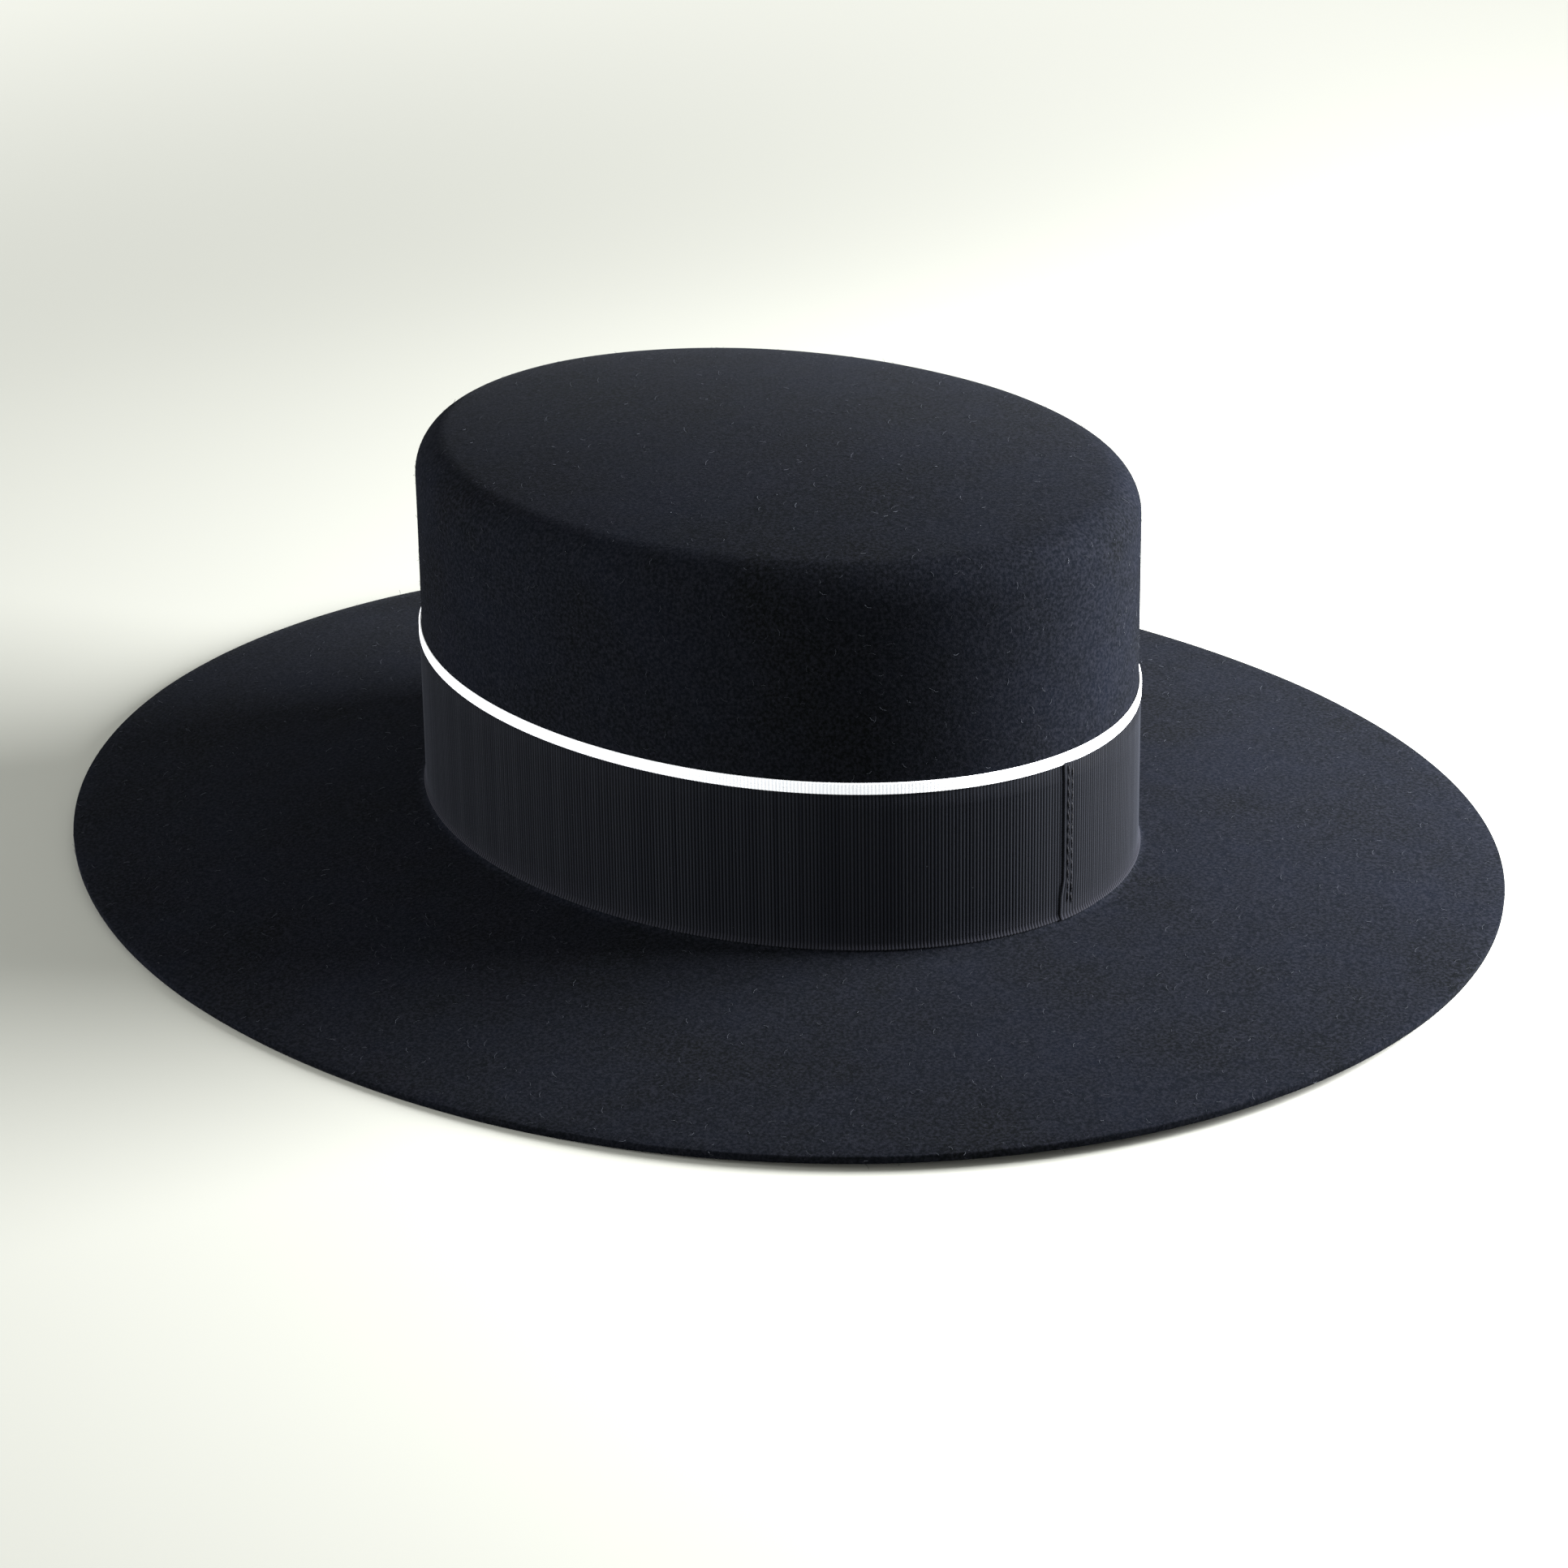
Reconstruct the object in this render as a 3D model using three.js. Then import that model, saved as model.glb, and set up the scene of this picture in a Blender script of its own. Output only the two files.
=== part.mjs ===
// Gaucho hat, resting on its brim: one stiff felt body (an oval crown with an almost flat tip, and a wide brim
// that droops a little), a ribbed ribbon round the foot of the crown, and a narrow white edge above the ribbon.
// Millimetres. +Z is up, -Y is the front and +X is the wearer's left. The origin lies on the surface that the
// brim rests on, below the middle of the outline.
import * as THREE from "three";

// Crown
const crownLength = 215; // outside of the felt, front to back
const crownWidth = 166; // outside of the felt, side to side
const crownHeight = 109.4; // from the brim's root to the middle of the tip
const crownLean = 2.5; // the shoulder stands this much higher at the back, and this much lower in front
const shoulderRadius = 11; // outside round between the wall and the tip
const tipRise = 4.6; // how much the tip domes between its rim and its middle
const feltThickness = 2.2;

// Brim
const brimSideWidth = 97; // from the wall to the edge, at the left and the right
const brimEndWidth = 99.5; // from the wall to the edge, at the front and the back
const brimSideDrop = 8.6; // from the brim's root down to its edge, at the left and the right
const brimEndDrop = 5.3; // from the brim's root down to its edge, at the front and the back
const brimCurl = 1.25; // power of the droop: 1 is a straight slope, more bends down towards the edge
const brimPower = 2.044; // power of the edge's outline: 2 is an ellipse, more is squarer
const breakRadius = 3.5; // hollow round where the wall turns into the brim
const edgeRound = 0.7; // worn corners of the cut edge
const restDepth = 0.5; // the felt is pressed flat by this much where the brim's low sides rest

// Ribbon and white edge
const ribbonWidth = 44.7; // cut width of the ribbon, down to its flared foot
const ribbonThickness = 1;
const whiteEdgeHeight = 2.9;
const whiteEdgeThickness = 1;
const seatDepth = 0.5; // how far the tight band presses into the wall
const seatStep = 1; // height over which the wall comes back out above the band
const flareAngle = 60; // degrees of the brim's break that the ribbon's foot follows
const clearance = 0.3; // between neighbouring pieces
const lapPlace = 9; // the ribbon's upper end stops this far to the left of the centre back
const lapLength = 14; // stretch over which the two ends lie on each other
const lapStep = 0.4; // how far the upper end stands proud of the lower one
const lapBevel = 0.3; // run over which the face comes up at the upper end
const whiteEdgeRound = 0.3; // its long corners

// Fineness of the surfaces
const columns = 72;
const tipShares = [0.3, 0.6, 0.85]; // rings of the tip, as shares of its radius
const brimShares = [0.1, 0.35, 0.6, 0.82]; // rings of the brim, as shares of its width
const shoulderSteps = 6;
const breakSteps = 4;
const restShareLimit = 0.975; // the underside's last ring lies no nearer to the edge than this
const columnGap = 2; // degrees that the ribbon's even columns keep from the lap's own

// Finishes
const feltBlack = 0x1b1d22;
const feltRoughness = 0.95;
const ribbonBlack = 0x24252c;
const ribbonRoughness = 0.8;
const edgeWhite = 0xf7f7f5;
const edgeRoughness = 0.7;

const radians = THREE.MathUtils.degToRad;
const halfLength = crownLength / 2;
const halfWidth = crownWidth / 2;
const brimRoot = feltThickness + brimSideDrop - restDepth;
const breakCentre = { out: breakRadius - seatDepth, z: brimRoot + breakRadius };
const tipMiddle = brimRoot + crownHeight;
const tipSlope = Math.atan((2 * tipRise) / ((halfLength + halfWidth) / 2 - shoulderRadius));
const shoulderTurn = Math.PI / 2 - tipSlope;
const wallTop = tipMiddle - tipRise - shoulderRadius * Math.sin(shoulderTurn);

const flare = radians(flareAngle);
const bandInside = clearance - seatDepth;
const ribbonArc = flare * (breakRadius - clearance - ribbonThickness / 2);
const ribbonTop = breakCentre.z + ribbonWidth - ribbonArc;
const whiteEdgeFoot = ribbonTop + clearance;
const seatTop = whiteEdgeFoot + whiteEdgeHeight + clearance;

const evenAngles = Array.from({ length: columns }, (_, i) => (2 * Math.PI * i) / columns);

// Numbers from `from` to `to` in equal steps, both ends included.
function steps(from, to, count) {
  return Array.from({ length: count + 1 }, (_, i) => from + ((to - from) * i) / count);
}

// The point of the hat in direction phi (0 is the left, 90 degrees the back), `out` beyond the crown's wall and
// square to it, at height z. `power` squares the oval up a little, and `lean` tips the point with the crown.
function ovalPoint(phi, out, z, power = 2, lean = 0) {
  const across = Math.cos(phi);
  const along = Math.sin(phi);
  const share = (value, exponent) => Math.sign(value) * Math.abs(value) ** exponent;
  const x = halfWidth * share(across, 2 / power);
  const y = halfLength * share(along, 2 / power);
  const normal = new THREE.Vector2(
    share(across, 2 - 2 / power) / halfWidth,
    share(along, 2 - 2 / power) / halfLength,
  ).normalize();
  const place = new THREE.Vector3(x + out * normal.x, y + out * normal.y, z);
  place.z += (lean * crownLean * place.y) / halfLength;
  return place;
}

// One closed surface through rings of equal length. The first and the last ring close on a middle point each
// where `middles` gives the two, and otherwise on each other.
function closedSurface(rings, middles = null) {
  const count = rings[0].length;
  const points = rings.flat();
  const faces = [];
  const last = rings.length - 1;
  const join = (upper, lower) => {
    for (let i = 0; i < count; i++) {
      const next = (i + 1) % count;
      const a = upper * count + i;
      const b = lower * count + i;
      const c = lower * count + next;
      const d = upper * count + next;
      faces.push(a, b, c, a, c, d);
    }
  };
  for (let i = 0; i < last; i++) join(i, i + 1);
  if (middles) {
    const first = points.push(...middles) - 2;
    for (let i = 0; i < count; i++) {
      const next = (i + 1) % count;
      faces.push(first, i, next);
      faces.push(last * count + i, first + 1, last * count + next);
    }
  } else {
    join(last, 0);
  }
  const geometry = new THREE.BufferGeometry().setFromPoints(points);
  geometry.setIndex(faces);
  geometry.computeVertexNormals();
  return geometry;
}

function mesh(name, geometry, color, roughness) {
  const material = new THREE.MeshStandardMaterial({ color, roughness, metalness: 0 });
  const piece = new THREE.Mesh(geometry, material);
  piece.name = name;
  return piece;
}

// The brim's width, droop and height in direction phi, worked out from its sides and its ends.
function brimWidth(phi) {
  return brimSideWidth * Math.cos(phi) ** 2 + brimEndWidth * Math.sin(phi) ** 2;
}

function brimDrop(phi) {
  return brimSideDrop * Math.cos(phi) ** 2 + brimEndDrop * Math.sin(phi) ** 2;
}

// A point of the brim at a share of its run from the break to the edge: on top, or on the underside, which is
// flat on the floor where it would reach below it.
function brimPoint(phi, share, under = false, inset = 0, lift = 0) {
  const run = brimWidth(phi) - breakCentre.out;
  const out = breakCentre.out + run * share - inset;
  const top = brimRoot - brimDrop(phi) * share ** brimCurl;
  const z = under ? Math.max(0, top - feltThickness) + lift : top - lift;
  return ovalPoint(phi, out, z, THREE.MathUtils.lerp(2, brimPower, share));
}

// Share of the brim's run at which the underside comes down to the floor, short of the edge where it doesn't.
function restShare(phi) {
  const height = brimRoot - feltThickness;
  return Math.min(restShareLimit, (height / brimDrop(phi)) ** (1 / brimCurl));
}

// The felt body as rings, from the middle of the tip over the shoulder, down the wall, out along the brim,
// round its cut edge and back up the inside. The crown is open below and one wall thick all over.
function feltRings() {
  const rings = [];
  const add = (place) => rings.push(evenAngles.map(place));
  const shoulder = (radius) => (turn) => (phi) =>
    ovalPoint(phi, radius * Math.cos(turn) - shoulderRadius, wallTop + radius * Math.sin(turn), 2, 1);
  const tip = (rim, drop) => (share) => (phi) => {
    const edge = rim(phi);
    const dome = tipRise * (1 - share ** 2);
    const level = wallTop + shoulderRadius * Math.sin(shoulderTurn) + dome - drop;
    const lean = (crownLean * edge.y * share) / halfLength;
    return new THREE.Vector3(edge.x * share, edge.y * share, level + lean);
  };

  const outer = shoulder(shoulderRadius);
  const inner = shoulder(shoulderRadius - feltThickness);
  tipShares.map(tip(outer(shoulderTurn), 0)).forEach(add);
  steps(shoulderTurn, 0, shoulderSteps).map(outer).forEach(add);

  add((phi) => ovalPoint(phi, 0, seatTop + seatStep));
  add((phi) => ovalPoint(phi, -seatDepth, seatTop));
  for (const turn of steps(0, Math.PI / 2, breakSteps)) {
    const out = breakCentre.out - breakRadius * Math.cos(turn);
    const z = breakCentre.z - breakRadius * Math.sin(turn);
    add((phi) => ovalPoint(phi, out, z));
  }

  for (const share of brimShares) add((phi) => brimPoint(phi, share));
  add((phi) => brimPoint(phi, 1, false, edgeRound));
  add((phi) => brimPoint(phi, 1, false, 0, edgeRound));
  add((phi) => brimPoint(phi, 1, true, 0, edgeRound));
  add((phi) => brimPoint(phi, 1, true, edgeRound));
  add((phi) => brimPoint(phi, restShare(phi), true));
  for (const share of [...brimShares].reverse()) add((phi) => brimPoint(phi, share, true));

  const insideRun = breakCentre.out + feltThickness;
  const underRise = breakRadius + feltThickness;
  for (const turn of steps(Math.PI / 2, 0, breakSteps)) {
    const out = breakCentre.out - insideRun * Math.cos(turn);
    const z = breakCentre.z - underRise * Math.sin(turn);
    add((phi) => ovalPoint(phi, out, z));
  }
  steps(0, shoulderTurn, shoulderSteps - 1).map(inner).forEach(add);
  [...tipShares].reverse().map(tip(inner(shoulderTurn), feltThickness)).forEach(add);
  return rings;
}

function feltBody() {
  const top = new THREE.Vector3(0, 0, tipMiddle);
  const under = new THREE.Vector3(0, 0, tipMiddle - feltThickness);
  return mesh("felt_body", closedSurface(feltRings(), [top, under]), feltBlack, feltRoughness);
}

// The direction of a point at the back of the wall, at a distance to the left of the centre.
function angleAtBack(distance) {
  return Math.acos(distance / halfWidth);
}

const lapFoot = angleAtBack(lapPlace + lapBevel);
const lapEdge = angleAtBack(lapPlace);
const lapEnd = angleAtBack(lapPlace - lapLength);

// The directions of the ribbon's columns: even ones, and its own ones at the step of the lap.
function ribbonAngles() {
  const own = [lapFoot, lapEdge, lapEnd];
  const apart = (phi) => own.every((mark) => Math.abs(phi - mark) > radians(columnGap));
  return [...evenAngles.filter(apart), ...own].sort((a, b) => a - b);
}

// How far the lap raises the ribbon's outer face in direction phi.
function lapRise(phi) {
  if (phi < lapEdge || phi > lapEnd) return 0;
  return (lapStep * (lapEnd - phi)) / (lapEnd - lapEdge);
}

// The ribbon lies on the pressed wall, and its foot flares out along the brim's break.
function ribbonBand() {
  const angles = ribbonAngles();
  const rings = [];
  const add = (place) => rings.push(angles.map(place));
  const insideRadius = breakRadius - clearance;
  const outsideRadius = insideRadius - ribbonThickness;
  const face = (radius, turn, raised) => (phi) => {
    const reach = radius - (raised ? lapRise(phi) : 0);
    return ovalPoint(
      phi,
      breakCentre.out - reach * Math.cos(turn),
      breakCentre.z - radius * Math.sin(turn),
    );
  };
  add((phi) => ovalPoint(phi, bandInside + ribbonThickness + lapRise(phi), ribbonTop));
  for (const turn of steps(0, flare, breakSteps)) add(face(outsideRadius, turn, true));
  for (const turn of steps(flare, 0, breakSteps)) add(face(insideRadius, turn, false));
  add((phi) => ovalPoint(phi, bandInside, ribbonTop));
  return mesh("ribbon_band", closedSurface(rings), ribbonBlack, ribbonRoughness);
}

// The white edge is a narrow strip with rounded corners that stands on the ribbon's top.
function whiteEdge() {
  const round = whiteEdgeRound;
  const outside = bandInside + whiteEdgeThickness;
  const foot = whiteEdgeFoot;
  const top = whiteEdgeFoot + whiteEdgeHeight;
  const section = [
    { out: outside - round, z: top },
    { out: outside, z: top - round },
    { out: outside, z: foot + round },
    { out: outside - round, z: foot },
    { out: bandInside, z: foot },
    { out: bandInside, z: top },
  ];
  const rings = section.map(({ out, z }) => evenAngles.map((phi) => ovalPoint(phi, out, z)));
  return mesh("white_edge", closedSurface(rings), edgeWhite, edgeRoughness);
}

const hat = new THREE.Group();
hat.name = "gaucho_hat";
hat.add(feltBody(), ribbonBand(), whiteEdge());

export default hat;
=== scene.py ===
# %% [markdown]
# # A gaucho hat in black felt
#
# The real hat starts as one soft cone of fur felt. A hatter steams it, blocks an oval crown with a flat
# tip, presses the brim flat and brushes the nap. A black grosgrain ribbon is then sewn round the foot of
# the crown, with a narrow white ribbon showing above it. This script makes the same things in the same
# order. All lengths are metres, and the hat stands on its brim with +Z up, its front at -Y and the wearer's
# left at +X.

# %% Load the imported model
import math
import bpy
from mathutils import Matrix, Vector


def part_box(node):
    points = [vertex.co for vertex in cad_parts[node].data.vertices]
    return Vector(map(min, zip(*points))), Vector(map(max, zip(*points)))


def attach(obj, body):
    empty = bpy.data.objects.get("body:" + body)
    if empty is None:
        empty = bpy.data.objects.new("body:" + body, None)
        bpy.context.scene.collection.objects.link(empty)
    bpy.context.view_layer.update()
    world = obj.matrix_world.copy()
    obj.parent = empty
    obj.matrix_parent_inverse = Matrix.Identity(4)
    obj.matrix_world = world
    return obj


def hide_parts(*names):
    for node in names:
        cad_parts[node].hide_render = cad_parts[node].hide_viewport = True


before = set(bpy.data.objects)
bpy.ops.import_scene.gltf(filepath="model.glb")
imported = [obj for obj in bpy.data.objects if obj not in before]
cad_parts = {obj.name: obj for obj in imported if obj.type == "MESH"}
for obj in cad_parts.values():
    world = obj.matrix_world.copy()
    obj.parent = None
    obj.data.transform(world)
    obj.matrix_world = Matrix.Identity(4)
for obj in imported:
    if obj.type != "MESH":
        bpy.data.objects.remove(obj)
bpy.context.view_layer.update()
print("nodes:", sorted(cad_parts))

# %% [markdown]
# ## Sizes
#
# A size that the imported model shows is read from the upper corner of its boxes, so the looks always fit the
# solids. The oval of the crown comes from the white edge, which hugs it, and the width of the brim from the
# felt. The few that a box can't show, such as the droop of the brim, are real sizes in millimetres.

# %% Read the main sizes
MM = 0.001
BAND_PROUD = 0.8 * MM  # the white edge's face stands this far beyond the crown's wall

felt_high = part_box("felt_body")[1]
ribbon_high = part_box("ribbon_band")[1]
white_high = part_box("white_edge")[1]
half_width = white_high.x - BAND_PROUD
half_length = white_high.y - BAND_PROUD
side_brim = felt_high.x - half_width
end_brim = felt_high.y - half_length
print(f"crown {2000 * half_width:.1f} x {2000 * half_length:.1f} mm, brim {1000 * side_brim:.1f} mm")

# %% Name the sizes that a box can't show
FELT_THICKNESS = 2.2 * MM
SIDE_DROP = 8.6 * MM  # from the brim's root to its edge, at the left and the right
END_DROP = 5.3 * MM  # the same at the front and the back
PRESSED = 0.5 * MM  # the brim's low sides are flattened by this much where they rest
DROOP_CURL = 1.25  # 1 is a straight slope, and more bends down towards the edge
SQUARENESS = 2.044  # power of the brim's outline: 2 is an ellipse
CROWN_LEAN = 2.5 * MM  # the shoulder stands this much higher at the back and lower in front
SHOULDER_RADIUS = 11 * MM
TIP_RISE = 4.6 * MM  # how far the tip domes
BREAK_RADIUS = 3 * MM  # hollow round between the wall and the brim

brim_root = FELT_THICKNESS + SIDE_DROP - PRESSED
tip_slope = math.atan(2 * TIP_RISE / ((half_width + half_length) / 2 - SHOULDER_RADIUS))
shoulder_turn = math.pi / 2 - tip_slope
rim_out = SHOULDER_RADIUS * (math.cos(shoulder_turn) - 1)
rim_lean = CROWN_LEAN * (half_length + rim_out) / half_length
tip_middle = felt_high.z - rim_lean**2 / (4 * TIP_RISE)  # the lean lifts the highest point above the middle
rim_height = tip_middle - TIP_RISE
wall_top = rim_height - SHOULDER_RADIUS * math.sin(shoulder_turn)
print(f"brim's root {1000 * brim_root:.1f} mm, tip {1000 * tip_middle:.1f} mm")

# %% [markdown]
# ## Helpers for node trees
#
# Both geometry and materials are made with nodes here. One function adds a node of any kind, sets it up and
# feeds its inputs, each with a number or with the output of another node. The others start a geometry tree
# with named inputs, so that its sizes are set on the modifier and not inside the tree, count its nodes, end
# it, run it, and keep only the mesh that it gives.

# %% Add one node
MATH = "ShaderNodeMath"  # the two kinds that are used most
VECTOR = "ShaderNodeVectorMath"


def add(tree, kind, feeds=None, **settings):
    """Adds a node. A feed is keyed by the input's name, or by its place among the inputs in use."""
    node = tree.nodes.new(kind)
    for name, value in settings.items():
        setattr(node, name, value)
    for key, value in (feeds or {}).items():
        used = [socket for socket in node.inputs if socket.enabled]
        target = used[key] if isinstance(key, int) else next(s for s in used if s.name == key)
        if isinstance(value, bpy.types.Node):
            value = next(socket for socket in value.outputs if socket.enabled)
        if isinstance(value, bpy.types.NodeSocket):
            tree.links.new(value, target)
        else:
            target.default_value = value
    return node


# %% Start a tree, end it and run it
def start_tree(name, inputs, outputs={"Geometry": "Geometry"}):
    """Starts a node group and returns it, with the sockets of its inputs and those of its results."""
    tree = bpy.data.node_groups.new(name, "GeometryNodeTree")
    for label, kind in outputs.items():
        tree.interface.new_socket(label, in_out="OUTPUT", socket_type="NodeSocket" + kind)
    for label, kind in inputs.items():
        tree.interface.new_socket(label, in_out="INPUT", socket_type="NodeSocket" + kind)
    return tree, add(tree, "NodeGroupInput").outputs, add(tree, "NodeGroupOutput").inputs


def count_nodes(tree):
    """Says how far a tree has come."""
    print("tree", tree.name, "has", len(tree.nodes), "nodes")


def end_tree(tree, given, result, shape, smooth=True):
    """Ends a geometry tree: one real mesh, shaded smooth where that is asked, in the material handed in."""
    shape = add(tree, "GeometryNodeRealizeInstances", {"Geometry": shape})
    if smooth:
        shape = add(tree, "GeometryNodeSetShadeSmooth", {"Geometry": shape})
    painted = add(tree, "GeometryNodeSetMaterial", {"Geometry": shape, "Material": given["Material"]})
    tree.links.new(painted.outputs[0], result["Geometry"])
    count_nodes(tree)


def put_modifier(piece, tree, values):
    """Puts a tree on a piece, with each input set by its socket's identifier."""
    modifier = piece.modifiers.new(tree.name, "NODES")
    modifier.node_group = tree
    for item in tree.interface.items_tree:
        if item.in_out == "INPUT" and item.name in values:
            modifier[item.identifier] = values[item.name]


def make_plain(piece):
    """Turns what the modifiers give into a plain mesh and takes the modifiers away."""
    depsgraph = bpy.context.evaluated_depsgraph_get()
    evaluated = piece.evaluated_get(depsgraph)
    mesh = bpy.data.meshes.new_from_object(evaluated, preserve_all_data_layers=True, depsgraph=depsgraph)
    mesh.name = piece.name
    piece.modifiers.clear()
    piece.data = mesh
    triangles = sum(len(face.vertices) - 2 for face in mesh.polygons)
    print(f"{piece.name}: {triangles} triangles")


# %% [markdown]
# ## Colours
#
# A colour is written as the hex value that a painter would pick, and Blender works with linear light, so
# one function turns the first into the second.

# %% Turn a hex colour into linear light
def linear(hex_colour):
    """The linear RGBA of an sRGB colour such as "#f7f7f5"."""
    channels = [int(hex_colour[i : i + 2], 16) / 255 for i in (1, 3, 5)]
    light = [c / 12.92 if c <= 0.04045 else ((c + 0.055) / 1.055) ** 2.4 for c in channels]
    return (*light, 1)


def start_material(name):
    """Starts a material and returns it with its tree, its shader and its object coordinates."""
    material = bpy.data.materials.new(name)
    material.use_nodes = True
    tree = material.node_tree
    place = add(tree, "ShaderNodeTexCoord").outputs["Object"]
    return material, tree, tree.nodes["Principled BSDF"], place


print(f"the mid grey #808080 is {linear('#808080')[0]:.3f} in linear light")


# %% [markdown]
# ## Finish: brushed fur felt
#
# Hat felt is matted rabbit fur, dyed blue-black, with a short nap brushed one way. Its hairs lie in all
# directions, so it has no gloss at all, and seen from above it swallows nearly all light. Its tips still
# catch light that grazes it, which is what the sheen layer is for. Close up, the nap lies in small tufts
# about a millimetre across, and the dye is a little uneven.

# %% Make the felt
TUFT = 0.9 * MM  # size of the matted tufts
FIBRE = 0.35 * MM  # real fur is 0.02 mm thick, drawn this coarse so that it shows
CLOUD = 45 * MM  # size of the uneven patches of the dye

felt, tree, shader, place = start_material("brushed_fur_felt")
cloud = add(
    tree, "ShaderNodeTexNoise", {"Vector": place, "Scale": 1 / CLOUD, "Detail": 6.0, "Roughness": 0.7}
)
dye = add(tree, "ShaderNodeMapRange", {"Value": cloud, "From Min": 0.35, "From Max": 0.65})
tuft = add(
    tree, "ShaderNodeTexNoise", {"Vector": place, "Scale": 1 / TUFT, "Detail": 3.0, "Roughness": 0.6}
)
fibre = add(tree, "ShaderNodeTexNoise", {"Vector": place, "Scale": 1 / FIBRE, "Detail": 2.0})
patch = add(
    tree, "ShaderNodeMix", {0: dye, "A": linear("#070809"), "B": linear("#090b10")}, data_type="RGBA"
)
fleck = add(tree, "ShaderNodeMapRange", {"Value": tuft, "From Min": 0.4, "From Max": 0.75})
nap = add(tree, "ShaderNodeMix", {0: fleck, "A": patch, "B": linear("#14151a")}, data_type="RGBA")
relief = add(tree, MATH, {0: tuft, 1: fibre}, operation="ADD")
bump = add(tree, "ShaderNodeBump", {"Height": relief, "Distance": 0.1 * MM, "Strength": 0.8})
tree.links.new(nap.outputs[2], shader.inputs["Base Color"])  # a mix node's third output is its colour
tree.links.new(bump.outputs[0], shader.inputs["Normal"])
shader.inputs["Roughness"].default_value = 0.95
shader.inputs["Specular IOR Level"].default_value = 0.0
shader.inputs["Sheen Weight"].default_value = 0.0145
shader.inputs["Sheen Roughness"].default_value = 0.3
shader.inputs["Sheen Tint"].default_value = linear("#ecf3ff")
print("made", felt.name)

# %% [markdown]
# ## Finish: grosgrain ribbon
#
# Grosgrain is woven with thick weft cords, which stand up as ribs, and a fine warp that runs over them
# along the ribbon. The ribs are real geometry further down, where each point is told the number of its rib
# and how deep it lies in a groove. The material paints shade into the grooves, where little light gets in
# between the cords, lets each cord take the dye a little differently, and adds the warp as a fine relief
# across the ribs. Along the woven edge at the foot, or selvage, a paler band is painted as a highlight for
# the light that the flared foot catches. The black ribbon has hardly any gloss, only the faint sheen of its
# fuzz, and the white one a little gloss and no sheen.

# %% Make the black and the white ribbon
WARP = 0.6 * MM  # real warp threads lie about 0.2 mm apart, drawn this coarse so that they show
WAVE_TURN = math.pi / 10  # a wave texture of scale 1 repeats after this length


def make_grosgrain(name, groove, dark, light, edge, roughness, gloss, sheen):
    """A ribbed ribbon in two close tones, with painted shade in its grooves and a painted highlight
    along its foot.
    """
    material, tree, shader, place = start_material(name)
    rib = add(tree, "ShaderNodeAttribute", attribute_name="rib")
    depth = add(tree, "ShaderNodeAttribute", attribute_name="groove")
    selvage = add(tree, "ShaderNodeAttribute", attribute_name="selvage")
    chance = add(tree, "ShaderNodeTexWhiteNoise", {"W": rib.outputs["Fac"]}, noise_dimensions="1D")
    tone = add(tree, "ShaderNodeMix", {0: chance, "A": linear(dark), "B": linear(light)}, data_type="RGBA")
    # Painted highlight: the flared foot is painted paler, for the light that it catches from above.
    foot_lit = add(
        tree, "ShaderNodeMix", {0: selvage.outputs["Fac"], "A": tone, "B": linear(edge)}, data_type="RGBA"
    )
    # Painted shade: the grooves between the cords are painted darker, since little light reaches them.
    shaded_grooves = add(
        tree, "ShaderNodeMix", {0: depth.outputs["Fac"], "A": foot_lit, "B": linear(groove)}, data_type="RGBA"
    )
    rings = add(tree, "ShaderNodeTexWave", {"Vector": place, "Scale": WAVE_TURN / WARP}, bands_direction="Z")
    fuzz = add(tree, "ShaderNodeTexNoise", {"Vector": place, "Scale": 2 / WARP, "Detail": 2.0})
    height = add(tree, MATH, {0: rings, 1: fuzz}, operation="ADD")
    bump = add(tree, "ShaderNodeBump", {"Height": height, "Distance": 0.025 * MM, "Strength": 0.8})
    tree.links.new(shaded_grooves.outputs[2], shader.inputs["Base Color"])
    tree.links.new(bump.outputs[0], shader.inputs["Normal"])
    shader.inputs["Diffuse Roughness"].default_value = 1.0
    shader.inputs["Roughness"].default_value = roughness
    shader.inputs["Specular IOR Level"].default_value = gloss
    shader.inputs["Sheen Weight"].default_value = sheen
    shader.inputs["Sheen Roughness"].default_value = 0.45
    print("made", name)
    return material


# The groove colour is painted shade between the cords; the edge colour is a painted highlight at the foot.
black_grosgrain = make_grosgrain(
    "black_rayon_grosgrain", groove="#030304", dark="#17191f", light="#1f2127", edge="#26272e",
    roughness=0.85, gloss=0.02, sheen=0.018,
)
white_grosgrain = make_grosgrain(
    "white_rayon_grosgrain", groove="#e0e2e9", dark="#f1f3f8", light="#f7f8fc", edge="#f7f8fc",
    roughness=0.7, gloss=0.25, sheen=0.0,
)

# %% [markdown]
# ## Finish: sewing thread
#
# The lap is sewn with black polyester thread, a two-ply twist that is nearly matt. Slanted bands stand for
# the twist of its plies, as a relief, and are painted darker where they sink, as shade between the plies.

# %% Make the thread
thread, tree, shader, place = start_material("black_polyester_thread")
PLY = 0.5 * MM  # the slanted bands of the plies lie about this far apart
ply = add(tree, "ShaderNodeTexWave", {"Vector": place, "Scale": WAVE_TURN / PLY}, bands_direction="DIAGONAL")
bump = add(tree, "ShaderNodeBump", {"Height": ply, "Distance": 0.05 * MM, "Strength": 0.8})
# Painted shade: the thread's colour darkens where the plies' bands sink.
tone = add(tree, "ShaderNodeMix", {0: ply, "A": linear("#060608"), "B": linear("#17181d")}, data_type="RGBA")
tree.links.new(tone.outputs[2], shader.inputs["Base Color"])
tree.links.new(bump.outputs[0], shader.inputs["Normal"])
shader.inputs["Roughness"].default_value = 0.6
shader.inputs["Specular IOR Level"].default_value = 0.08
print("made", thread.name)

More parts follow.
